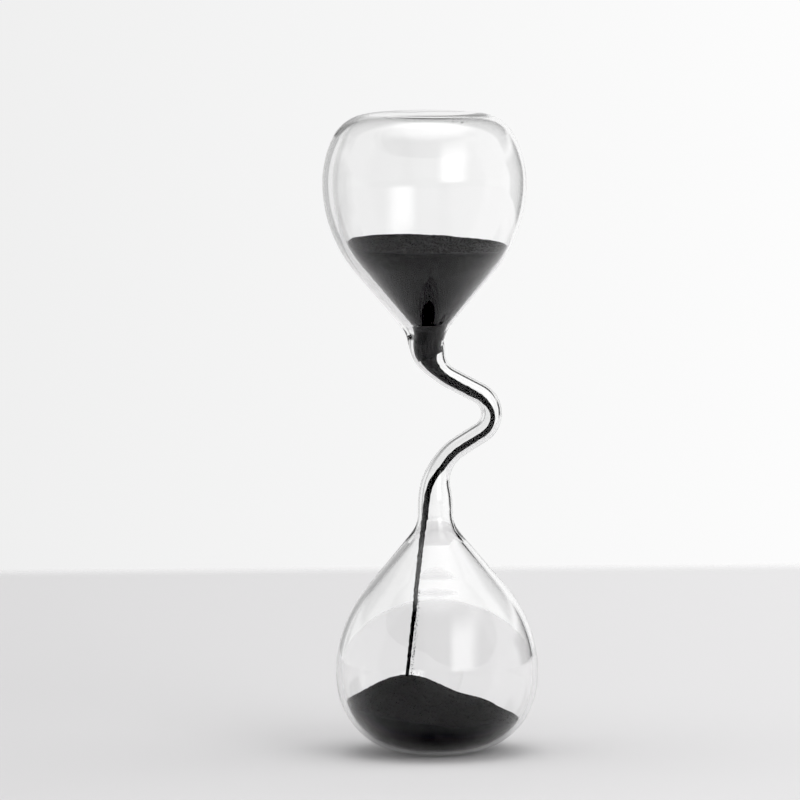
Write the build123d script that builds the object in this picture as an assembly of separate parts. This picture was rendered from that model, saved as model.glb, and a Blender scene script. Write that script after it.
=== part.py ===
from build123d import *

import os
from math import atan2, cos, degrees, radians, sin, sqrt

# A sand timer: one sealed envelope of blown glass, two bulbs joined by a thin zigzag neck,
# with black sand part-way through its run.
# Millimetres. +Z is up. The origin is the centre of the flat base, on the axis of the lower bulb.
# The neck bends out to +X, and the glass is symmetric about the plane Y = 0.

# ---- overall
height = 185.0
upper_bulb_x = -2.1

# ---- glass
wall = 1.7
end_wall = 1.2
neck_wall = 0.85
# the upper bulb has more glass on its -X side, so its inside is off its axis
upper_cavity_x = 0.8
# lengths of neck over which the wall and that offset settle
wall_settles_over = 6.0
shift_fades_over = 9.0

# ---- neck: corners of its centre line in the XZ plane, and the bend radius at each
neck_radius = 3.0
lower_corner = (0.0, 84.3)
outer_corner = (23.1, 98.6)
upper_corner = (upper_bulb_x, 112.15)
corner_radii = [15.4, 6.6, 13.5]
lower_throat_radius = 5.0
lower_flare_radius = 8.0
lower_taper = (71.5, 86.5)
upper_throat_radius = 5.0
upper_flare_radius = 11.5
upper_taper = (109.5, 116.5)
throat_sections = 22

# ---- filling hole in the upper end, closed by a bead of glass
seal_x = 10.2
seal_y = -5.0
seal_radius = 1.4
seal_recess = 0.3
seal_tail_radius = 0.5
seal_tail = 2.4

# ---- sand: a small gap keeps it off the glass, as loose grains are
sand_gap = 0.08
upper_sand_level = 147.3
# slopes of the upper sand's surface, down to +X and down to -Y
upper_sand_tilt = 1.6
upper_sand_lean = 2.6
crater_radius = 19.0
crater_depth = 1.2
# trail down the neck, from the foot of the sand that fills the upper throat to where the sand falls free:
# height on the centre line, distance of its middle from that line, and thickness;
# a negative distance is on the side that faces down in the upper leg of the zigzag
trail = [
    (115.2, -0.4, 5.2),
    (113.2, -0.55, 3.8),
    (110.0, -0.7, 2.5),
    (105.5, -0.9, 2.0),
    (101.8, -0.8, 1.6),
    (99.4, -0.1, 1.4),
    (97.2, 0.6, 1.3),
    (94.0, 0.7, 1.5),
    (90.0, 0.6, 1.6),
    (86.0, 0.7, 1.6),
    (82.5, 0.5, 1.6),
    (79.0, -0.9, 1.7),
    (75.5, -2.0, 1.8),
    (71.5, -2.7, 1.8),
    (67.5, -3.1, 1.7),
]
stream_foot_radius = 0.5
heap_x = -8.7
heap_top = 22.6
heap_cap_radius = 17.0
heap_slope = 25.5
heap_reach = 60.0


class Bulb:
    """Outline of one blown bulb, in distances from its own flat end along its own axis."""

    def __init__(self, radius, widest_at, heel_radius, shoulder_radius, funnel_half_angle, seam_at):
        self.radius = radius
        self.widest_at = widest_at
        self.heel_radius = heel_radius
        self.shoulder_radius = shoulder_radius
        self.funnel_half_angle = funnel_half_angle
        self.seam_at = seam_at
        # the funnel's straight outer line, by its normal and its distance from the bulb's origin
        self.normal = (cos(radians(funnel_half_angle)), sin(radians(funnel_half_angle)))
        self.shoulder_centre = (radius - shoulder_radius, widest_at)
        along_normal = self.normal[0] * self.shoulder_centre[0] + self.normal[1] * self.shoulder_centre[1]
        self.funnel_distance = along_normal + shoulder_radius

    def funnel_radius(self, distance, inset=0.0):
        """Radius of the straight funnel with its wall moved in by inset."""
        return (self.funnel_distance - inset - self.normal[1] * distance) / self.normal[0]

    def flared_radius(self, distance, narrow_radius, flare_radius):
        """Outer radius of a throat: the funnel's line turned by an arc into a tube of narrow_radius."""
        across = narrow_radius + flare_radius
        along = (self.funnel_distance + flare_radius - self.normal[0] * across) / self.normal[1]
        if distance >= along:
            return narrow_radius
        if distance <= along - flare_radius * self.normal[1]:
            return self.funnel_radius(distance)
        return across - sqrt(flare_radius**2 - (along - distance) ** 2)

    def solid(self, inset, floor):
        """The bulb with its flat end down at height floor and its wall moved in by inset."""
        crown = self.radius - inset
        heel = self.heel_radius - inset
        heel_height = floor + heel
        heel_centre = (sqrt((crown - heel) ** 2 - (self.widest_at - heel_height) ** 2), heel_height)
        heel_end = degrees(atan2(heel_height - self.widest_at, heel_centre[0]))
        shoulder = self.shoulder_radius - inset
        funnel_start = (
            self.shoulder_centre[0] + shoulder * self.normal[0],
            self.shoulder_centre[1] + shoulder * self.normal[1],
        )
        seam_radius = self.funnel_radius(self.seam_at, inset)
        return turned([
            Line((0, floor), (heel_centre[0], floor)),
            CenterArc(heel_centre, heel, -90, 90 + heel_end),
            CenterArc((0, self.widest_at), crown, heel_end, -heel_end),
            CenterArc(self.shoulder_centre, shoulder, 0, self.funnel_half_angle),
            Line(funnel_start, (seam_radius, self.seam_at)),
            Line((seam_radius, self.seam_at), (0, self.seam_at)),
            Line((0, self.seam_at), (0, floor)),
        ])


lower = Bulb(
    radius=29.2,
    widest_at=23.1,
    heel_radius=21.5,
    shoulder_radius=39.0,
    funnel_half_angle=40.0,
    seam_at=60.5,
)
upper = Bulb(
    radius=29.4,
    widest_at=20.1,
    heel_radius=12.5,
    shoulder_radius=40.0,
    funnel_half_angle=40.0,
    seam_at=60.5,
)
upper_seam_z = height - upper.seam_at


def turned(outline):
    """A solid of revolution about Z from a closed outline of (radius, height)."""
    return revolve(Plane.XZ * make_face(outline), Axis.Z)


def eased(value, start, end):
    """0 before start, 1 after end, smooth in between."""
    share = min(1.0, max(0.0, (value - start) / (end - start)))
    return share * share * (3 - 2 * share)


def neck_outer_radius(z):
    """Outer radius of the neck at this height."""
    if z < lower_taper[0]:
        return lower.flared_radius(z, lower_throat_radius, lower_flare_radius)
    if z > upper_taper[1]:
        return upper.flared_radius(height - z, upper_throat_radius, upper_flare_radius)
    below = (lower_throat_radius - neck_radius) * (1 - eased(z, *lower_taper))
    above = (upper_throat_radius - neck_radius) * eased(z, *upper_taper)
    return neck_radius + below + above


def neck_inner_radius(z, gap=0.0):
    """Bore of the neck less a gap: it meets each bulb's inside at the seam, with neck_wall in between."""
    bulb = lower if z < height / 2 else upper
    from_seam = min(z - lower.seam_at, upper_seam_z - z)
    share = min(1.0, from_seam / wall_settles_over)
    seam_wall = (wall + gap) / bulb.normal[0]
    return neck_outer_radius(z) - seam_wall - (neck_wall + gap - seam_wall) * share


def sand_radius(z):
    """Radius of sand that fills the neck's bore."""
    return neck_inner_radius(z, sand_gap)


def bore_shift(z):
    """How far the bore is off the centre line, to meet the upper bulb's inside at the seam."""
    return upper_cavity_x * max(0.0, 1.0 - (upper_seam_z - z) / shift_fades_over)


def no_shift(z):
    return 0.0


def neck_line():
    """Centre line of the neck, from the lower seam up to the upper seam: runs joined by tangent arcs."""
    corners = [
        (0, lower.seam_at),
        lower_corner,
        outer_corner,
        upper_corner,
        (upper_bulb_x, upper_seam_z),
    ]
    return Plane.XZ * FilletPolyline(*corners, radius=corner_radii)


def section_plane(line, place, shift=0.0):
    """Plane square to a line at a share of its length, moved along X by shift. Its local Y crosses it."""
    return Plane(origin=line @ place + Vector(shift, 0, 0), x_dir=(0, 1, 0), z_dir=line % place)


def throat(line, radius_at, shift_at=no_shift):
    """A smooth solid along one end of the neck, with round sections of radius_at(height)."""
    sections = []
    for step in range(throat_sections):
        place = step / (throat_sections - 1)
        z = (line @ place).Z
        sections.append(section_plane(line, place, shift_at(z)) * Circle(radius_at(z)))
    return loft(sections)


def neck_solid(radius_at, shift_at=no_shift):
    """The neck as one solid: lower throat, even zigzag tube, upper throat."""
    tube = sweep(section_plane(zigzag, 0) * Circle(radius_at((zigzag @ 0).Z)), path=zigzag)
    return throat(lower_throat, radius_at) + tube + throat(upper_throat, radius_at, shift_at)


def seal_bead(radius):
    """The bead of glass melted into the filling hole: a plug with a drawn-out tail inside."""
    foot = end_wall
    tip = end_wall + seal_tail
    return turned([
        Line((0, seal_recess), (radius, seal_recess)),
        Line((radius, seal_recess), (radius, foot)),
        Line((radius, foot), (seal_tail_radius, tip)),
        Line((seal_tail_radius, tip), (0, tip)),
        Line((0, tip), (0, seal_recess)),
    ])


def bulb_glass(bulb, cavity_shift):
    """A bulb's glass, with its inside moved off its axis by cavity_shift."""
    return bulb.solid(0.0, 0.0) - cavity_shift * bulb.solid(wall, end_wall)


def sand_space(bulb):
    """The inside of a bulb, less the gap between sand and glass."""
    return bulb.solid(wall + sand_gap, end_wall + sand_gap)


def bulb_sand():
    """Sand in the upper bulb: all of its inside below a tilted surface with a shallow crater."""
    surface = Pos(upper_bulb_x, 0, upper_sand_level) * Rot(upper_sand_lean, upper_sand_tilt, 0)
    side = 3 * upper.radius
    above = surface * Pos(0, 0, side / 2) * Box(side, side, side)
    crater = surface * Pos(0, 0, -crater_depth / 2) * Cone(1.0, crater_radius, crater_depth)
    return upper_place * cavity_place * sand_space(upper) - above - crater


def place_at_height(line, z):
    """Share of the line's length at which it reaches height z; the line always climbs."""
    low, high = 0.0, 1.0
    for _ in range(40):
        middle = (low + high) / 2
        if (line @ middle).Z < z:
            low = middle
        else:
            high = middle
    return low


def trail_section(z, offset, thickness):
    """The trail's round section where the centre line is at height z."""
    plane = section_plane(neck_path, place_at_height(neck_path, z))
    return plane * Pos(0, -offset) * Circle(thickness / 2)


def neck_trail():
    """Sand running down the neck: tapered lengths between the trail's sections."""
    sections = [trail_section(*station) for station in trail]
    lengths = [loft([above, below]) for above, below in zip(sections, sections[1:])]
    return lengths[0] + lengths[1:]


def throat_sand():
    """Sand that fills the upper throat down to the start of the trail."""
    foot = section_plane(neck_path, place_at_height(neck_path, trail[0][0]))
    side = 2 * upper.radius
    below = foot * Pos(0, 0, -side / 2) * Box(side, side, side)
    return throat(upper_throat, sand_radius, bore_shift) - below


def heap_mound():
    """Everything under the surface of the fallen heap: a rounded cone about the line the sand falls on."""
    slope = radians(heap_slope)
    cap_end = (heap_cap_radius * sin(slope), heap_top - heap_cap_radius * (1 - cos(slope)))
    rim = (heap_reach, cap_end[1] - (heap_reach - cap_end[0]) * sin(slope) / cos(slope))
    return Pos(heap_x, 0, 0) * turned([
        CenterArc((0, heap_top - heap_cap_radius), heap_cap_radius, 90 - heap_slope, heap_slope),
        Line(cap_end, rim),
        Line(rim, (0, rim[1])),
        Line((0, rim[1]), (0, heap_top)),
    ])


neck_path = neck_line()
runs = neck_path.edges().sort_by(Axis.Z)
lower_throat = Wire(runs[:2])
zigzag = Wire(runs[2:5])
upper_throat = Wire(runs[5:])
upper_place = Pos(upper_bulb_x, 0, height) * Rot(180, 0, 0)
cavity_place = Pos(upper_cavity_x, 0, 0)

seal_place = upper_place * Pos(seal_x, -seal_y, 0)
filling_hole = seal_place * Pos(0, 0, end_wall / 2) * Cylinder(seal_radius, 2 * end_wall)

landing = Pos(heap_x, 0, heap_top - heap_cap_radius)
stream = loft([trail_section(*trail[-1]), landing * Circle(stream_foot_radius)])
mound = heap_mound()

nodes = {
    "lower_bulb": bulb_glass(lower, Pos(0, 0, 0)),
    "upper_bulb": upper_place * bulb_glass(upper, cavity_place) - filling_hole,
    "neck_tube": neck_solid(neck_outer_radius) - neck_solid(neck_inner_radius, bore_shift),
    "fill_seal": seal_place * seal_bead(seal_radius),
    "upper_sand": bulb_sand() + throat_sand(),
    "neck_sand": neck_trail(),
    "falling_sand": stream - mound,
    "lower_sand": sand_space(lower) & mound,
}

os.makedirs("parts", exist_ok=True)
for name, shape in nodes.items():
    export_step(shape, f"parts/{name}.step")
    print(name, round(shape.volume, 1), "mm3")
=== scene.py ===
import math

import bmesh
import bpy
import numpy as np
from mathutils import Matrix, Vector, noise


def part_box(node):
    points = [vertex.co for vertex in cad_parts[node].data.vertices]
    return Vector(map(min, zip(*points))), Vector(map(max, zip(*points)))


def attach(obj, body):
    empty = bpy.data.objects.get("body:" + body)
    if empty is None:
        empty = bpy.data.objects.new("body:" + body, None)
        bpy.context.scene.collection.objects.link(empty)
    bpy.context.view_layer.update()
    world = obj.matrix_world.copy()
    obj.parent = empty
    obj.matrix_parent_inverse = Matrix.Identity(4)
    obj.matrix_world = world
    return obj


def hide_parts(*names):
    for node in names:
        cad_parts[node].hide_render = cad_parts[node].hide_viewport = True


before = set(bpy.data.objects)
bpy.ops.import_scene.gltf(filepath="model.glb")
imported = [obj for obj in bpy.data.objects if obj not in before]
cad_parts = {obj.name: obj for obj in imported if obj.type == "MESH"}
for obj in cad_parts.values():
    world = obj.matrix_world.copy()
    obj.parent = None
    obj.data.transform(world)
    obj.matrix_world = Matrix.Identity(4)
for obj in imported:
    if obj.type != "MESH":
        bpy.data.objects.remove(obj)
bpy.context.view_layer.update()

# A blown-glass sand timer, part-way through its run. The scene is in metres, in the CAD model's frame;
# the shapes below are worked out in millimetres and scaled as each mesh is made.
MM = 0.001
BODY = "root"
rng = np.random.default_rng(7)

# ---------------------------------------------------------------- sizes
lower_low, lower_high = (np.array(corner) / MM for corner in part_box("lower_bulb"))
upper_low, upper_high = (np.array(corner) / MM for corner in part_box("upper_bulb"))
height = upper_high[2]
upper_bulb_x = (upper_low[0] + upper_high[0]) / 2
lower_seam_z = lower_high[2]
upper_seam_z = upper_low[2]
wall = 1.7
end_wall = 1.2
neck_wall = 0.85
upper_cavity_x = 0.8
wall_settles_over = 6.0
shift_fades_over = 9.0
neck_radius = 3.0
lower_throat_radius = 5.0
lower_flare_radius = 8.0
lower_taper = (71.5, 86.5)
upper_throat_radius = 5.0
upper_flare_radius = 11.5
upper_taper = (109.5, 116.5)
neck_corners = [
    (0.0, lower_seam_z),
    (0.0, 84.3),
    (23.1, 98.6),
    (upper_bulb_x, 112.15),
    (upper_bulb_x, upper_seam_z),
]
neck_bends = [15.4, 6.6, 13.5]
sand_gap = 0.1


def eased(value, start, end):
    """0 before start, 1 after end, smooth in between."""
    share = np.clip((value - start) / (end - start), 0.0, 1.0)
    return share * share * (3 - 2 * share)


# ---------------------------------------------------------------- outlines of the glass
def arc(centre, radius, start, end, count):
    """Points of an arc, (across, along), angles in radians."""
    angles = np.linspace(start, end, count)
    return np.array(centre) + radius * np.column_stack([np.cos(angles), np.sin(angles)])


class Bulb:
    """Outline of one blown bulb, in distances from its own flat end along its own axis."""

    def __init__(self, box, seam_at, widest_at, heel_radius, shoulder_radius, funnel_half_angle):
        self.radius = (box[1][0] - box[0][0]) / 2
        self.seam_at = seam_at
        self.widest_at = widest_at
        self.heel_radius = heel_radius
        self.shoulder_radius = shoulder_radius
        self.funnel_half_angle = math.radians(funnel_half_angle)
        self.normal = np.array([math.cos(self.funnel_half_angle), math.sin(self.funnel_half_angle)])
        self.shoulder_centre = np.array([self.radius - shoulder_radius, widest_at])
        self.funnel_distance = float(self.normal @ self.shoulder_centre) + shoulder_radius

    def funnel_radius(self, distance, inset=0.0):
        """Radius of the straight funnel with its wall moved in by inset."""
        return (self.funnel_distance - inset - self.normal[1] * distance) / self.normal[0]

    def flared_radius(self, distance, narrow_radius, flare_radius):
        """Outer radius of a throat: the funnel's line turned by an arc into a tube of narrow_radius."""
        across = narrow_radius + flare_radius
        along = (self.funnel_distance + flare_radius - self.normal[0] * across) / self.normal[1]
        if distance >= along:
            return narrow_radius
        if distance <= along - flare_radius * self.normal[1]:
            return self.funnel_radius(distance)
        return across - math.sqrt(flare_radius**2 - (along - distance) ** 2)

    def outline(self, inset, floor):
        """(radius, distance) from the flat end's centre to the seam, with the wall moved in by inset."""
        crown = self.radius - inset
        heel = self.heel_radius - inset
        heel_height = floor + heel
        heel_centre = (math.sqrt((crown - heel) ** 2 - (self.widest_at - heel_height) ** 2), heel_height)
        heel_end = math.atan2(heel_height - self.widest_at, heel_centre[0])
        shoulder = self.shoulder_radius - inset
        flat = np.column_stack([np.linspace(0.6, heel_centre[0], 14), np.full(14, floor)])
        heel_arc = arc(heel_centre, heel, -math.pi / 2, heel_end, 40)
        crown_arc = arc((0, self.widest_at), crown, heel_end, 0, 20)
        shoulder_arc = arc(self.shoulder_centre, shoulder, 0, self.funnel_half_angle, 50)
        seam = (self.funnel_radius(self.seam_at, inset), self.seam_at)
        funnel = np.linspace(shoulder_arc[-1], seam, 24)
        return np.vstack([flat[:-1], heel_arc[:-1], crown_arc[:-1], shoulder_arc[:-1], funnel])


lower = Bulb(
    (lower_low, lower_high),
    seam_at=lower_seam_z,
    widest_at=23.1,
    heel_radius=21.5,
    shoulder_radius=39.0,
    funnel_half_angle=40.0,
)
upper = Bulb(
    (upper_low, upper_high),
    seam_at=height - upper_seam_z,
    widest_at=20.1,
    heel_radius=12.5,
    shoulder_radius=40.0,
    funnel_half_angle=40.0,
)


def neck_outer_radius(z):
    """Outer radius of the neck at this height."""
    if z < lower_taper[0]:
        return lower.flared_radius(z, lower_throat_radius, lower_flare_radius)
    if z > upper_taper[1]:
        return upper.flared_radius(height - z, upper_throat_radius, upper_flare_radius)
    below = (lower_throat_radius - neck_radius) * (1 - float(eased(z, *lower_taper)))
    above = (upper_throat_radius - neck_radius) * float(eased(z, *upper_taper))
    return neck_radius + below + above


def neck_inner_radius(z):
    """Bore of the neck: it meets each bulb's inside at the seam, with neck_wall in between."""
    bulb = lower if z < height / 2 else upper
    from_seam = max(0.0, min(z - lower_seam_z, upper_seam_z - z))
    share = float(eased(from_seam, 0.0, wall_settles_over))
    seam_wall = wall / bulb.normal[0]
    return neck_outer_radius(z) - seam_wall - (neck_wall - seam_wall) * share


def bore_shift(z):
    """How far the bore is off the centre line, to meet the upper bulb's inside at the seam."""
    return upper_cavity_x * float(eased(z, upper_seam_z - shift_fades_over, upper_seam_z))


def neck_line(spacing):
    """Points (x, z) up the neck's centre line and the unit tangent at each: runs and tangent arcs."""
    corners = [np.array(corner, float) for corner in neck_corners]
    points, tangents = [], []

    def run(start, end):
        count = max(2, int(np.linalg.norm(end - start) / spacing))
        direction = (end - start) / np.linalg.norm(end - start)
        for share in np.arange(count) / count:
            points.append(start + (end - start) * share)
            tangents.append(direction)

    here = corners[0]
    for before, corner, after, radius in zip(corners, corners[1:], corners[2:], neck_bends):
        into = (corner - before) / np.linalg.norm(corner - before)
        out = (after - corner) / np.linalg.norm(after - corner)
        turn = math.acos(float(np.clip(into @ out, -1, 1)))
        side = np.sign(into[0] * out[1] - into[1] * out[0])
        cut = radius * math.tan(turn / 2)
        run(here, corner - into * cut)
        centre = corner - into * cut + side * radius * np.array([-into[1], into[0]])
        steps = max(6, int(radius * turn / spacing))
        for share in np.arange(steps) / steps:
            angle = side * turn * share
            rotate = np.array([[math.cos(angle), -math.sin(angle)], [math.sin(angle), math.cos(angle)]])
            tangent = rotate @ into
            points.append(centre - side * radius * np.array([-tangent[1], tangent[0]]))
            tangents.append(tangent)
        here = corner + out * cut
    run(here, corners[-1])
    points.append(corners[-1])
    tangents.append(tangents[-1])
    return np.array(points), np.array(tangents)


NECK_SPACING = 0.3
NECK_SMOOTHING = 2.4
neck_points, neck_tangents = neck_line(NECK_SPACING)


def smoothed(values, reach):
    """Values along the neck averaged over reach millimetres each way; the slope is kept at both ends."""
    count = int(reach / NECK_SPACING)
    steps = np.arange(1, count + 1)
    before = values[0] - steps[::-1] * (values[1] - values[0])
    after = values[-1] + steps * (values[-1] - values[-2])
    weights = np.hanning(2 * count + 3)[1:-1]
    return np.convolve(np.concatenate([before, values, after]), weights / weights.sum(), mode="valid")


neck_outer = smoothed(np.array([neck_outer_radius(z) for z in neck_points[:, 1]]), NECK_SMOOTHING)
neck_inner = smoothed(np.array([neck_inner_radius(z) for z in neck_points[:, 1]]), NECK_SMOOTHING)
neck_shift = np.array([bore_shift(z) for z in neck_points[:, 1]])


# ---------------------------------------------------------------- meshes from rings
def ring_mesh(name, rings, loop=False, start_pole=None, end_pole=None):
    """A closed mesh through rings of points, an array (ring, point, 3) in millimetres.
    loop joins the last ring to the first; otherwise a pole closes each end."""
    count, around = rings.shape[:2]
    vertices = [tuple(v) for v in rings.reshape(-1, 3)]
    first = np.arange(count if loop else count - 1)[:, None] * around
    second = (first + around) % (count * around)
    here = np.arange(around)[None, :]
    beside = (here + 1) % around
    quads = np.stack([first + here, first + beside, second + beside, second + here], axis=-1)
    faces = [tuple(q) for q in quads.reshape(-1, 4)]
    if not loop:
        for pole, base in ((start_pole, 0), (end_pole, (count - 1) * around)):
            vertices.append(tuple(pole))
            apex = len(vertices) - 1
            faces += [(base + j, base + (j + 1) % around, apex) for j in range(around)]
    mesh = bpy.data.meshes.new(name)
    mesh.from_pydata([tuple(c * MM for c in v) for v in vertices], [], faces)
    tidy = bmesh.new()
    tidy.from_mesh(mesh)
    bmesh.ops.recalc_face_normals(tidy, faces=tidy.faces)
    tidy.to_mesh(mesh)
    tidy.free()
    for face in mesh.polygons:
        face.use_smooth = True
    return mesh


def turned_rings(outline, around, centre_x=0.0, flip=False):
    """Rings of a solid of revolution from (radius, distance) points, hung from the top if flip is set."""
    angles = np.linspace(0, 2 * math.pi, around, endpoint=False)
    radius, distance = outline[:, 0][:, None], outline[:, 1][:, None]
    x = centre_x + radius * np.cos(angles)
    y = radius * np.sin(angles)
    z = np.broadcast_to(height - distance if flip else distance, x.shape)
    return np.stack([x, y, z], axis=-1)


def neck_rings(points, tangents, radii, shifts, around):
    """Round rings square to the neck's centre line; a ring's first point is on its +X side."""
    angles = np.linspace(0, 2 * math.pi, around, endpoint=False)
    across = radii[:, None] * np.cos(angles)
    x = points[:, 0][:, None] + shifts[:, None] + tangents[:, 1][:, None] * across
    y = radii[:, None] * np.sin(angles)
    z = points[:, 1][:, None] - tangents[:, 0][:, None] * across
    return np.stack([x, y, z], axis=-1)


def add_piece(mesh, node, materials):
    """Put a mesh in the scene in place of a CAD node."""
    piece = bpy.data.objects.new(mesh.name, mesh)
    bpy.context.scene.collection.objects.link(piece)
    for material in materials:
        mesh.materials.append(material)
    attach(piece, BODY)
    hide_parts(node)
    return piece


# ---------------------------------------------------------------- materials
def new_material(name):
    material = bpy.data.materials.new(name)
    material.use_nodes = True
    nodes = material.node_tree.nodes
    nodes.clear()
    return material, nodes, material.node_tree.links


def object_texture(nodes, links, kind, scale, **sockets):
    """A procedural texture in the object's own space, with scale in cycles per metre."""
    place = nodes.new("ShaderNodeTexCoord")
    texture = nodes.new(kind)
    texture.inputs["Scale"].default_value = scale
    for key, value in sockets.items():
        texture.inputs[key.replace("_", " ")].default_value = value
    links.new(place.outputs["Object"], texture.inputs["Vector"])
    return texture


def glass_material():
    """Clear blown glass with the faint waviness of hand work."""
    material, nodes, links = new_material("blown_glass")
    shader = nodes.new("ShaderNodeBsdfPrincipled")
    shader.inputs["Base Color"].default_value = (1.0, 1.0, 1.0, 1)
    shader.inputs["Roughness"].default_value = 0.0
    shader.inputs["IOR"].default_value = 1.47
    shader.inputs["Transmission Weight"].default_value = 1.0
    shader.inputs["Specular IOR Level"].default_value = 0.22
    waves = object_texture(nodes, links, "ShaderNodeTexNoise", 60.0, Detail=1.0)
    bump = nodes.new("ShaderNodeBump")
    bump.inputs["Strength"].default_value = 0.05
    bump.inputs["Distance"].default_value = 0.001
    links.new(waves.outputs["Fac"], bump.inputs["Height"])
    links.new(bump.outputs["Normal"], shader.inputs["Normal"])
    out = nodes.new("ShaderNodeOutputMaterial")
    links.new(shader.outputs["BSDF"], out.inputs["Surface"])
    return material


def weld_material():
    """The plane inside a flame-welded joint: the glass goes on through it unchanged."""
    material, nodes, links = new_material("welded_joint")
    shader = nodes.new("ShaderNodeBsdfTransparent")
    out = nodes.new("ShaderNodeOutputMaterial")
    links.new(shader.outputs["BSDF"], out.inputs["Surface"])
    return material


def sand_material():
    """Black sand: dark grains of slightly different greys at random, the lightest few painted brighter as
    painted glints.
    """
    material, nodes, links = new_material("black_sand")
    shader = nodes.new("ShaderNodeBsdfPrincipled")
    grains = object_texture(nodes, links, "ShaderNodeTexVoronoi", 3600.0, Randomness=1.0)
    split = nodes.new("ShaderNodeSeparateColor")
    links.new(grains.outputs["Color"], split.inputs["Color"])
    shades = nodes.new("ShaderNodeValToRGB")
    # the top stop paints the lightest few grains brighter: painted glints; the lower stops are the sand's
    # own random greys
    stops = [(0.0, 0.0015), (0.6, 0.004), (0.93, 0.01), (0.985, 0.05)]
    paint_ramp(shades.color_ramp, stops)
    links.new(split.outputs["Red"], shades.inputs["Fac"])
    links.new(shades.outputs["Color"], shader.inputs["Base Color"])
    gloss = nodes.new("ShaderNodeMapRange")
    gloss.inputs["To Min"].default_value = 0.45
    gloss.inputs["To Max"].default_value = 0.9
    links.new(split.outputs["Green"], gloss.inputs["Value"])
    links.new(gloss.outputs["Result"], shader.inputs["Roughness"])
    shader.inputs["Specular IOR Level"].default_value = 0.08
    bump = nodes.new("ShaderNodeBump")
    bump.inputs["Strength"].default_value = 0.35
    bump.inputs["Distance"].default_value = 0.0002
    links.new(grains.outputs["Distance"], bump.inputs["Height"])
    links.new(bump.outputs["Normal"], shader.inputs["Normal"])
    out = nodes.new("ShaderNodeOutputMaterial")
    links.new(shader.outputs["BSDF"], out.inputs["Surface"])
    return material


def paint_ramp(ramp, stops):
    """Set a colour ramp's stops from (position, grey) pairs."""
    elements = ramp.elements
    elements[0].position, elements[1].position = stops[0][0], stops[-1][0]
    elements[0].color = (stops[0][1],) * 3 + (1,)
    elements[1].color = (stops[-1][1],) * 3 + (1,)
    for position, value in stops[1:-1]:
        elements.new(position).color = (value, value, value, 1)


glass = glass_material()
weld = weld_material()
sand = sand_material()

# ---------------------------------------------------------------- glass pieces
AROUND_BULB = 192
AROUND_NECK = 96


def bulb_mesh(name, bulb, centre_x, cavity_x, flip):
    outside = turned_rings(bulb.outline(0.0, 0.0), AROUND_BULB, centre_x, flip)
    inside = turned_rings(bulb.outline(wall, end_wall)[::-1], AROUND_BULB, centre_x + cavity_x, flip)
    outer_end = (centre_x, 0, height if flip else 0)
    inner_end = (centre_x + cavity_x, 0, height - end_wall if flip else end_wall)
    return ring_mesh(name, np.vstack([outside, inside]), start_pole=outer_end, end_pole=inner_end)


def neck_mesh(name):
    outside = neck_rings(neck_points, neck_tangents, neck_outer, 0 * neck_shift, AROUND_NECK)
    inside = neck_rings(
        neck_points[::-1], neck_tangents[::-1], neck_inner[::-1], neck_shift[::-1], AROUND_NECK
    )
    return ring_mesh(name, np.vstack([outside, inside]), loop=True)


def mark_welds(mesh, heights):
    """Give the flat rings at these heights, where two pieces are welded, the second material."""
    for face in mesh.polygons:
        for z in heights:
            if all(abs(mesh.vertices[v].co.z - z * MM) < 1e-7 for v in face.vertices):
                face.material_index = 1
    tidy = bmesh.new()
    tidy.from_mesh(mesh)
    for edge in tidy.edges:
        if len({face.material_index for face in edge.link_faces}) > 1:
            edge.smooth = False
    tidy.to_mesh(mesh)
    tidy.free()


lower_bulb = bulb_mesh("lower_bulb_glass", lower, 0.0, 0.0, False)
upper_bulb = bulb_mesh("upper_bulb_glass", upper, upper_bulb_x, upper_cavity_x, True)
neck = neck_mesh("neck_tube_glass")
add_piece(lower_bulb, "lower_bulb", [glass, weld])
add_piece(upper_bulb, "upper_bulb", [glass, weld])
add_piece(neck, "neck_tube", [glass, weld])
mark_welds(lower_bulb, [lower_seam_z])
mark_welds(upper_bulb, [upper_seam_z])
mark_welds(neck, [lower_seam_z, upper_seam_z])


def seal_mesh(name):
    """The melted seal of the filling hole: a flattened, curled wisp of glass under the top disc."""
    low, high = (np.array(corner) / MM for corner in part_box("fill_seal"))
    centre = (low + high) / 2
    under = height - end_wall - 0.55
    share = np.linspace(0, 1, 40)
    path = np.column_stack([
        centre[0] - 2.3 + 4.4 * share,
        centre[1] + 0.5 * np.sin(5.0 * share),
        under - 0.35 * np.sin(math.pi * share) - 0.3 * share,
    ])
    thick = 0.12 + 0.36 * np.sin(math.pi * share) ** 0.7 * (1 + 0.35 * np.sin(14 * share))
    angles = np.linspace(0, 2 * math.pi, 16, endpoint=False)
    y = path[:, 1][:, None] + 1.5 * thick[:, None] * np.cos(angles)
    z = path[:, 2][:, None] + 0.8 * thick[:, None] * np.sin(angles)
    x = np.broadcast_to(path[:, 0][:, None], y.shape)
    return ring_mesh(name, np.stack([x, y, z], axis=-1), start_pole=path[0], end_pole=path[-1])


add_piece(seal_mesh("fill_seal_wisp"), "fill_seal", [glass])

# ---------------------------------------------------------------- sand
AROUND_SAND = 180
upper_sand_level = 147.0
upper_sand_tilt = 0.028
upper_sand_lean = 0.03
crater_radius = 19.0
crater_depth = 1.2
corner_rise = 0.5
heap_x = -8.8
heap_top = 22.2
heap_cap_radius = 17.0
heap_slope = math.radians(26.5)
terrace_rise = 1.7
heap_grains = 9000
upper_grains = 7000
thread_grains = 260


def rough(x, y, z, size, seed=0.0):
    """Smooth noise of about -1 to 1 at a point in millimetres, with lumps of this size."""
    return noise.noise(Vector((x / size + seed, y / size, z / size)))


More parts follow.
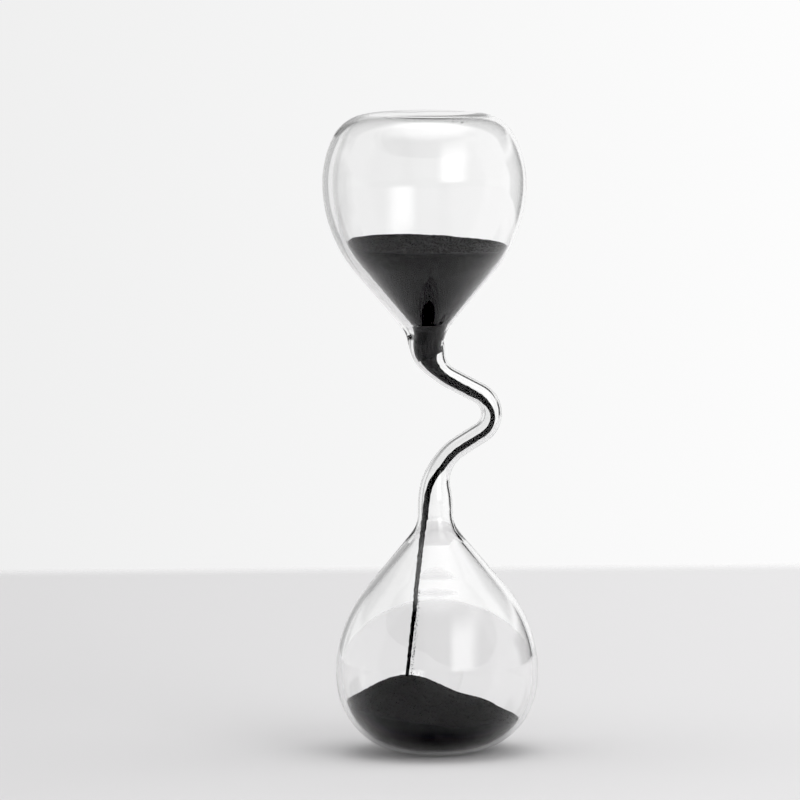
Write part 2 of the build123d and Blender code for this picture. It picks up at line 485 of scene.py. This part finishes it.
def upper_surface(x, y):
    """Height of the sand in the upper bulb: lower to +X and -Y, with a crater and a higher back corner."""
    out_x = x - upper_bulb_x
    level = upper_sand_level - upper_sand_tilt * out_x + upper_sand_lean * y
    crater = crater_depth * max(0.0, 1 - math.hypot(out_x, y) / crater_radius)
    corner = corner_rise * float(eased(y - out_x, 4.0, 30.0))
    return level - crater + corner + 0.22 * rough(x, y, 0, 5.0) + 0.1 * rough(x, y, 9, 1.2)


def heap_surface(x, y):
    """Height of the fallen heap: a rounded cone under the stream, with a terrace towards +X."""
    reach = math.hypot(x - heap_x, y)
    cap_end = heap_cap_radius * math.sin(heap_slope)
    if reach < cap_end:
        fall = heap_cap_radius - math.sqrt(heap_cap_radius**2 - reach**2)
    else:
        cap_fall = heap_cap_radius * (1 - math.cos(heap_slope))
        fall = cap_fall + (reach - cap_end) * math.tan(heap_slope)
    terrace = terrace_rise * float(eased(x, 3.0, 17.0))
    return heap_top - fall + terrace + 0.25 * rough(x, y, 3, 6.0) + 0.1 * rough(x, y, 5, 1.3)


def contained_rings(wall_line, centre_x, surface, wall_steps, top_steps):
    """Rings of a body of sand: up its container's wall, (radius, z) rising, and over its top.
    surface(x, y) is the height of the free surface."""
    angles = np.linspace(0, 2 * math.pi, AROUND_SAND, endpoint=False)
    travel = np.concatenate([[0], np.cumsum(np.hypot(*np.diff(wall_line, axis=0).T))])
    rings = np.zeros((wall_steps + top_steps, AROUND_SAND, 3))
    for j, angle in enumerate(angles):
        aim = np.array([math.cos(angle), math.sin(angle)])
        tops = [surface(centre_x + r * aim[0], r * aim[1]) for r, _ in wall_line]
        over = wall_line[:, 1] - np.array(tops)
        last = int(np.argmax(over > 0))
        step = travel[last] - travel[last - 1]
        contact = travel[last - 1] + step * -over[last - 1] / (over[last] - over[last - 1])
        along = np.linspace(0, contact, wall_steps)
        radius = np.interp(along, travel, wall_line[:, 0])
        z = np.interp(along, travel, wall_line[:, 1])
        rings[:wall_steps, j] = np.column_stack([centre_x + radius * aim[0], radius * aim[1], z])
        for k in range(top_steps):
            r = radius[-1] * (1 - (k + 1) / (top_steps + 1))
            x, y = centre_x + r * aim[0], r * aim[1]
            rings[wall_steps + k, j] = (x, y, surface(x, y))
    return rings


def grain_shell(points, sizes):
    """Vertices and faces of separate angular grains, stretched octahedra turned at random."""
    corners = np.array([(1, 0, 0), (-1, 0, 0), (0, 1, 0), (0, -1, 0), (0, 0, 1), (0, 0, -1)], float)
    sides = [(0, 2, 4), (2, 1, 4), (1, 3, 4), (3, 0, 4), (2, 0, 5), (1, 2, 5), (3, 1, 5), (0, 3, 5)]
    count = len(points)
    turns = rng.normal(size=(count, 4))
    turns /= np.linalg.norm(turns, axis=1)[:, None]
    w, x, y, z = turns.T
    spin = np.array([
        [1 - 2 * (y * y + z * z), 2 * (x * y - w * z), 2 * (x * z + w * y)],
        [2 * (x * y + w * z), 1 - 2 * (x * x + z * z), 2 * (y * z - w * x)],
        [2 * (x * z - w * y), 2 * (y * z + w * x), 1 - 2 * (x * x + y * y)],
    ]).transpose(2, 0, 1)
    stretch = rng.uniform(0.65, 1.25, size=(count, 1, 3))
    shapes = corners[None] * stretch * sizes[:, None, None]
    vertices = np.einsum("nij,nkj->nki", spin, shapes) + points[:, None, :]
    faces = (np.array(sides)[None] + 6 * np.arange(count)[:, None, None]).reshape(-1, 3)
    return vertices.reshape(-1, 3), faces


def with_grains(mesh, points, sizes):
    """Add loose grains, flat-faced, to a body of sand."""
    vertices, faces = grain_shell(points, sizes)
    body = [tuple(v.co) for v in mesh.vertices]
    body_faces = [tuple(f.vertices) for f in mesh.polygons]
    moved = [tuple(v) for v in vertices * MM]
    grains = [tuple(int(i) + len(body) for i in f) for f in faces]
    joined = bpy.data.meshes.new(mesh.name)
    joined.from_pydata(body + moved, [], body_faces + grains)
    smooth = np.arange(len(joined.polygons)) < len(body_faces)
    joined.polygons.foreach_set("use_smooth", smooth)
    name = mesh.name
    bpy.data.meshes.remove(mesh)
    joined.name = name
    return joined


def grains_on(surface, centre_x, reach, count):
    """Points scattered on a free surface inside a radius, and a size for each grain."""
    radius = reach * np.sqrt(rng.uniform(0, 1, count))
    angle = rng.uniform(0, 2 * math.pi, count)
    x = centre_x + radius * np.cos(angle)
    y = radius * np.sin(angle)
    z = np.array([surface(a, b) for a, b in zip(x, y)])
    return np.column_stack([x, y, z]), rng.uniform(0.12, 0.26, count)


def inside_wall(points, wall_line, centre_x):
    """Which points are inside a container's wall, given as (radius, z) rising."""
    limit = np.interp(points[:, 2], wall_line[:, 1], wall_line[:, 0]) - 0.25
    return np.hypot(points[:, 0] - centre_x, points[:, 1]) < limit


def lower_sand_mesh(name):
    wall_line = lower.outline(wall + sand_gap, end_wall + sand_gap)
    rings = contained_rings(wall_line, 0.0, heap_surface, 50, 60)
    mesh = ring_mesh(
        name, rings, start_pole=(0, 0, end_wall + sand_gap), end_pole=(0, 0, heap_surface(0, 0))
    )
    points, sizes = grains_on(heap_surface, 0.0, lower.radius, heap_grains)
    kept = inside_wall(points, wall_line[14:], 0.0)
    return with_grains(mesh, points[kept], sizes[kept])


def upper_sand_mesh(name):
    """Sand in the upper bulb and throat, down to where it thins into the neck's trail."""
    centre_x = upper_bulb_x + upper_cavity_x
    outline = upper.outline(wall + sand_gap, end_wall + sand_gap)
    wall_line = np.column_stack([outline[:, 0], height - outline[:, 1]])[::-1]
    wall_line = wall_line[wall_line[:, 1] < height - upper.widest_at]
    bulb_part = contained_rings(wall_line, centre_x, upper_surface, 46, 50)
    in_throat = neck_points[:, 1] > trail_heights[-1] - 0.4
    throat = neck_rings(
        neck_points[in_throat][:-1],
        neck_tangents[in_throat][:-1],
        neck_inner[in_throat][:-1] - sand_gap,
        neck_shift[in_throat][:-1],
        AROUND_SAND,
    )
    foot = neck_points[in_throat][0]
    top = (centre_x, 0, upper_surface(centre_x, 0))
    rings = np.vstack([throat, bulb_part])
    mesh = ring_mesh(name, rings, start_pole=(foot[0], 0, foot[1]), end_pole=top)
    points, sizes = grains_on(upper_surface, centre_x, 26.0, upper_grains)
    kept = inside_wall(points, wall_line, centre_x)
    return with_grains(mesh, points[kept], sizes[kept])


# the trail down the neck: height on the centre line, offset of its middle, thickness
trail = [
    (67.5, -3.1, 1.8),
    (71.5, -2.7, 1.8),
    (75.5, -2.0, 1.8),
    (79.0, -0.9, 1.7),
    (82.5, 0.5, 1.6),
    (86.0, 0.7, 1.7),
    (90.0, 0.7, 1.6),
    (94.0, 0.7, 1.5),
    (97.2, 0.5, 1.3),
    (99.4, -0.1, 1.4),
    (101.8, -0.8, 1.7),
    (105.5, -0.9, 2.2),
    (110.0, -0.8, 2.6),
    (113.2, -0.8, 3.8),
    (115.2, -0.4, 5.6),
]
trail_heights, trail_offsets, trail_widths = zip(*trail)


def neck_sand_mesh(name):
    """Sand running down one side of the bore: a flattened band that keeps inside the glass."""
    chosen = (neck_points[:, 1] > trail_heights[0]) & (neck_points[:, 1] < trail_heights[-1])
    points, tangents = neck_points[chosen], neck_tangents[chosen]
    bore = neck_inner[chosen] - sand_gap
    offsets = np.interp(points[:, 1], trail_heights, trail_offsets)
    halves = np.interp(points[:, 1], trail_heights, trail_widths) / 2
    window = np.hanning(13)[1:-1]
    window /= window.sum()
    offsets = np.convolve(np.pad(offsets, 5, mode="edge"), window, mode="valid")
    halves = np.convolve(np.pad(halves, 5, mode="edge"), window, mode="valid")
    around = 40
    angles = np.linspace(0, 2 * math.pi, around, endpoint=False)
    rings = np.zeros((len(points), around, 3))
    for i, ((x, z), (tx, tz)) in enumerate(zip(points, tangents)):
        gathered = 0.25 + 0.75 * float(eased(z, trail_heights[0], trail_heights[0] + 14.0))
        depth = 0.85 * gathered * math.sqrt(max(bore[i] ** 2 - offsets[i] ** 2, 0.3))
        for j, angle in enumerate(angles):
            lump = 1 + 0.16 * rough(i * NECK_SPACING, 2 * math.cos(angle), 2 * math.sin(angle), 1.3)
            across = offsets[i] + halves[i] * lump * math.cos(angle)
            sideways = depth * lump * math.sin(angle)
            keep = min(1.0, bore[i] / math.hypot(across, sideways))
            across, sideways = across * keep, sideways * keep
            rings[i, j] = (x + tz * across, sideways, z - tx * across)
    ends = rings[0].mean(axis=0), rings[-1].mean(axis=0)
    return ring_mesh(name, rings, start_pole=ends[0], end_pole=ends[1])


def strand_rings(top, foot, top_half, foot_half, wander, seed):
    """Rings of a falling thread of grains that narrows and wanders on its way down."""
    rings = []
    angles = np.linspace(0, 2 * math.pi, 20, endpoint=False)
    for z in np.arange(top[2], foot[2], -0.25):
        share = (top[2] - z) / (top[2] - foot[2])
        half = top_half + (foot_half - top_half) * share**0.6
        middle = np.array(top) + (np.array(foot) - np.array(top)) * share
        middle[0] += wander * math.sin(math.pi * share) * rough(0, 0, z, 9.0, seed)
        lumps = np.array([1 + 0.35 * rough(math.cos(a), math.sin(a), z, 1.1, seed) for a in angles])
        x = middle[0] + half * lumps * np.cos(angles)
        y = middle[1] + half * lumps * np.sin(angles)
        rings.append(np.column_stack([x, y, np.full(len(angles), z)]))
    return np.array(rings)


def falling_sand_mesh(name):
    low, high = (np.array(corner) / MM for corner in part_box("falling_sand"))
    top = (high[0] - trail_widths[0] / 2 - 0.1, 0.0, high[2])
    foot = (heap_x, 0.0, heap_surface(heap_x, 0) - 0.6)
    rings = strand_rings(top, foot, 0.85, 0.5, 0.4, 0.0)
    mesh = ring_mesh(name, rings, start_pole=top, end_pole=rings[-1].mean(axis=0))
    count = thread_grains
    share = rng.uniform(0.45, 1, count)
    points = np.array(top) + (np.array(foot) - np.array(top)) * share[:, None]
    points[:, 0] += 1.0 + 0.25 * rng.normal(size=count) + 0.3 * np.sin(9 * share)
    points[:, 1] += 0.2 * rng.normal(size=count)
    return with_grains(mesh, points, rng.uniform(0.08, 0.15, count))


add_piece(lower_sand_mesh("lower_sand_heap"), "lower_sand", [sand])
add_piece(upper_sand_mesh("upper_sand_body"), "upper_sand", [sand])
add_piece(neck_sand_mesh("neck_sand_trail"), "neck_sand", [sand])
add_piece(falling_sand_mesh("falling_sand_thread"), "falling_sand", [sand])

# ---------------------------------------------------------------- stage, light and camera
floor_back = 0.473
floor_slant = 0.0375
floor_fade = 0.028
# share of the table top that glows: painted light that lifts the shadows on it
floor_painted_glow = 0.15
WINDOW_STRENGTH = 2.6
OVERHEAD_STRENGTH = 1.8
LENS_MM = 375.0
CAMERA_ROLL = -0.7
# takes off the veil that the glass's reflections lay over the black sand
BLACK_LEVEL = 0.04


def floor_material():
    """Pale matt table top, painted lighter to +X as painted light from that side, with a faint painted
    glow that lifts its shadows; it fades out at its back edge.
    """
    material, nodes, links = new_material("table_top")
    place = nodes.new("ShaderNodeTexCoord")
    split = nodes.new("ShaderNodeSeparateXYZ")
    links.new(place.outputs["Object"], split.inputs["Vector"])
    # painted light: the table top's colour is lighter to +X, as if more light fell from that side
    painted_light_share = nodes.new("ShaderNodeMapRange")
    painted_light_share.inputs["From Min"].default_value = -0.15
    painted_light_share.inputs["From Max"].default_value = 0.15
    links.new(split.outputs["X"], painted_light_share.inputs["Value"])
    painted_light_tone = nodes.new("ShaderNodeMix")
    painted_light_tone.data_type = "RGBA"
    painted_light_tone.inputs["A"].default_value = (0.62, 0.615, 0.62, 1)
    painted_light_tone.inputs["B"].default_value = (0.71, 0.705, 0.71, 1)
    links.new(painted_light_share.outputs["Result"], painted_light_tone.inputs["Factor"])
    shader = nodes.new("ShaderNodeBsdfDiffuse")
    links.new(painted_light_tone.outputs["Result"], shader.inputs["Color"])
    # painted light: part of the table top glows in its own colour, lightening its shadows
    painted_glow = nodes.new("ShaderNodeEmission")
    links.new(painted_light_tone.outputs["Result"], painted_glow.inputs["Color"])
    lit = nodes.new("ShaderNodeMixShader")
    lit.inputs["Fac"].default_value = floor_painted_glow
    links.new(shader.outputs["BSDF"], lit.inputs[1])
    links.new(painted_glow.outputs["Emission"], lit.inputs[2])
    slant = nodes.new("ShaderNodeMath")
    slant.operation = "MULTIPLY_ADD"
    slant.inputs[1].default_value = floor_slant
    links.new(split.outputs["X"], slant.inputs[0])
    links.new(split.outputs["Y"], slant.inputs[2])
    fade = nodes.new("ShaderNodeMapRange")
    fade.interpolation_type = "SMOOTHSTEP"
    fade.inputs["From Min"].default_value = floor_back - floor_fade
    fade.inputs["From Max"].default_value = floor_back
    links.new(slant.outputs["Value"], fade.inputs["Value"])
    clear = nodes.new("ShaderNodeBsdfTransparent")
    mix = nodes.new("ShaderNodeMixShader")
    links.new(fade.outputs["Result"], mix.inputs["Fac"])
    links.new(lit.outputs["Shader"], mix.inputs[1])
    links.new(clear.outputs["BSDF"], mix.inputs[2])
    out = nodes.new("ShaderNodeOutputMaterial")
    links.new(mix.outputs["Shader"], out.inputs["Surface"])
    return material


def add_floor():
    mesh = bpy.data.meshes.new("table_top")
    top = -0.0001
    back = floor_back + 4 * floor_slant
    corners = [(-4, -5, top), (4, -5, top), (4, back, top), (-4, back, top)]
    mesh.from_pydata(corners, [], [(0, 1, 2, 3)])
    mesh.materials.append(floor_material())
    floor = bpy.data.objects.new("table_top", mesh)
    bpy.context.scene.collection.objects.link(floor)


def add_world():
    """A soft studio: a pale wall, a dimmer front, dark panels high and to +X, a soft box and a window."""
    world = bpy.data.worlds.new("studio")
    bpy.context.scene.world = world
    world.use_nodes = True
    nodes, links = world.node_tree.nodes, world.node_tree.links
    nodes.clear()
    place = nodes.new("ShaderNodeTexCoord")
    split = nodes.new("ShaderNodeSeparateXYZ")
    links.new(place.outputs["Generated"], split.inputs["Vector"])
    toward = {axis: split.outputs[axis] for axis in "XYZ"}

    def math_node(operation, first, second):
        node = nodes.new("ShaderNodeMath")
        node.operation = operation
        for socket, value in zip(node.inputs, (first, second)):
            if isinstance(value, (int, float)):
                socket.default_value = value
            else:
                links.new(value, socket)
        return node.outputs[0]

    def rise(value, start, end, low=0.0, high=1.0):
        node = nodes.new("ShaderNodeMapRange")
        node.interpolation_type = "SMOOTHSTEP"
        settings = {"From Min": start, "From Max": end, "To Min": low, "To Max": high}
        for key, number in settings.items():
            node.inputs[key].default_value = number
        links.new(value, node.inputs["Value"])
        return node.outputs["Result"]

    def band(value, start, full_start, full_end, end):
        return math_node("MULTIPLY", rise(value, start, full_start), rise(value, full_end, end, 1.0, 0.0))

    half = rise(toward["X"], -1.0, 1.0)
    half.node.interpolation_type = "LINEAR"
    ramp = nodes.new("ShaderNodeValToRGB")
    links.new(half, ramp.inputs["Fac"])
    stops = [
        (0.0, 0.9),
        (0.25, 0.9),
        (0.28, 0.45),
        (0.36, 0.45),
        (0.39, 0.84),
        (0.475, 0.87),
        (0.525, 0.98),
        (0.57, 1.0),
        (1.0, 1.0),
    ]
    paint_ramp(ramp.color_ramp, stops)
    room = ramp.outputs["Color"]
    high_y = band(toward["Y"], 0.36, 0.44, 0.86, 0.9)
    high_z = band(toward["Z"], 0.25, 0.36, 0.85, 0.92)
    high = math_node("MULTIPLY", high_y, high_z)
    high = math_node("MULTIPLY", high, rise(toward["X"], -0.3, 0.25, 0.6, 0.97))
    side_x = band(toward["X"], 0.46, 0.54, 0.9, 0.94)
    side_z = band(toward["Z"], -0.3, -0.2, 0.16, 0.26)
    side = math_node("MULTIPLY", side_x, side_z)
    side = math_node("MULTIPLY", side, rise(toward["Y"], 0.2, 0.36))
    front = rise(toward["Y"], -0.22, -0.34)
    dim = math_node("ADD", high, math_node("MULTIPLY", side, 0.95))
    dim = math_node("ADD", dim, math_node("MULTIPLY", front, 0.35))
    light = math_node("MULTIPLY", room, math_node("SUBTRACT", 1.0, dim))
    overhead = math_node("MULTIPLY", rise(toward["Z"], 0.76, 0.97), OVERHEAD_STRENGTH)
    light = math_node("ADD", light, overhead)
    window_x = band(toward["X"], 0.2, 0.38, 0.58, 0.8)
    window_z = band(toward["Z"], 0.03, 0.11, 0.5, 0.88)
    window = math_node("MULTIPLY", window_x, window_z)
    window = math_node("MULTIPLY", window, rise(toward["Y"], 0.0, -0.05))
    light = math_node("ADD", light, math_node("MULTIPLY", window, WINDOW_STRENGTH))
    background = nodes.new("ShaderNodeBackground")
    links.new(light, background.inputs["Color"])
    out = nodes.new("ShaderNodeOutputWorld")
    links.new(background.outputs["Background"], out.inputs["Surface"])


def add_camera():
    data = bpy.data.cameras.new("camera")
    data.sensor_width = 36.0
    data.lens = LENS_MM
    data.clip_end = 50.0
    camera = bpy.data.objects.new("camera", data)
    target = Vector((-9.8, 0.0, 102.3)) * MM
    camera.location = Vector((target.x, -2.39, 0.33))
    aim = (target - camera.location).to_track_quat("-Z", "Y").to_matrix().to_4x4()
    roll = Matrix.Rotation(math.radians(CAMERA_ROLL), 4, "Z")
    camera.matrix_world = Matrix.Translation(camera.location) @ aim @ roll
    bpy.context.scene.collection.objects.link(camera)
    bpy.context.scene.camera = camera


add_floor()
add_world()
add_camera()
scene = bpy.context.scene
scene.view_settings.view_transform = "Standard"
scene.view_settings.use_curve_mapping = True
scene.view_settings.curve_mapping.black_level = (BLACK_LEVEL,) * 3
scene.view_settings.curve_mapping.update()
scene.cycles.max_bounces = 24
scene.cycles.transmission_bounces = 24
scene.cycles.transparent_max_bounces = 16
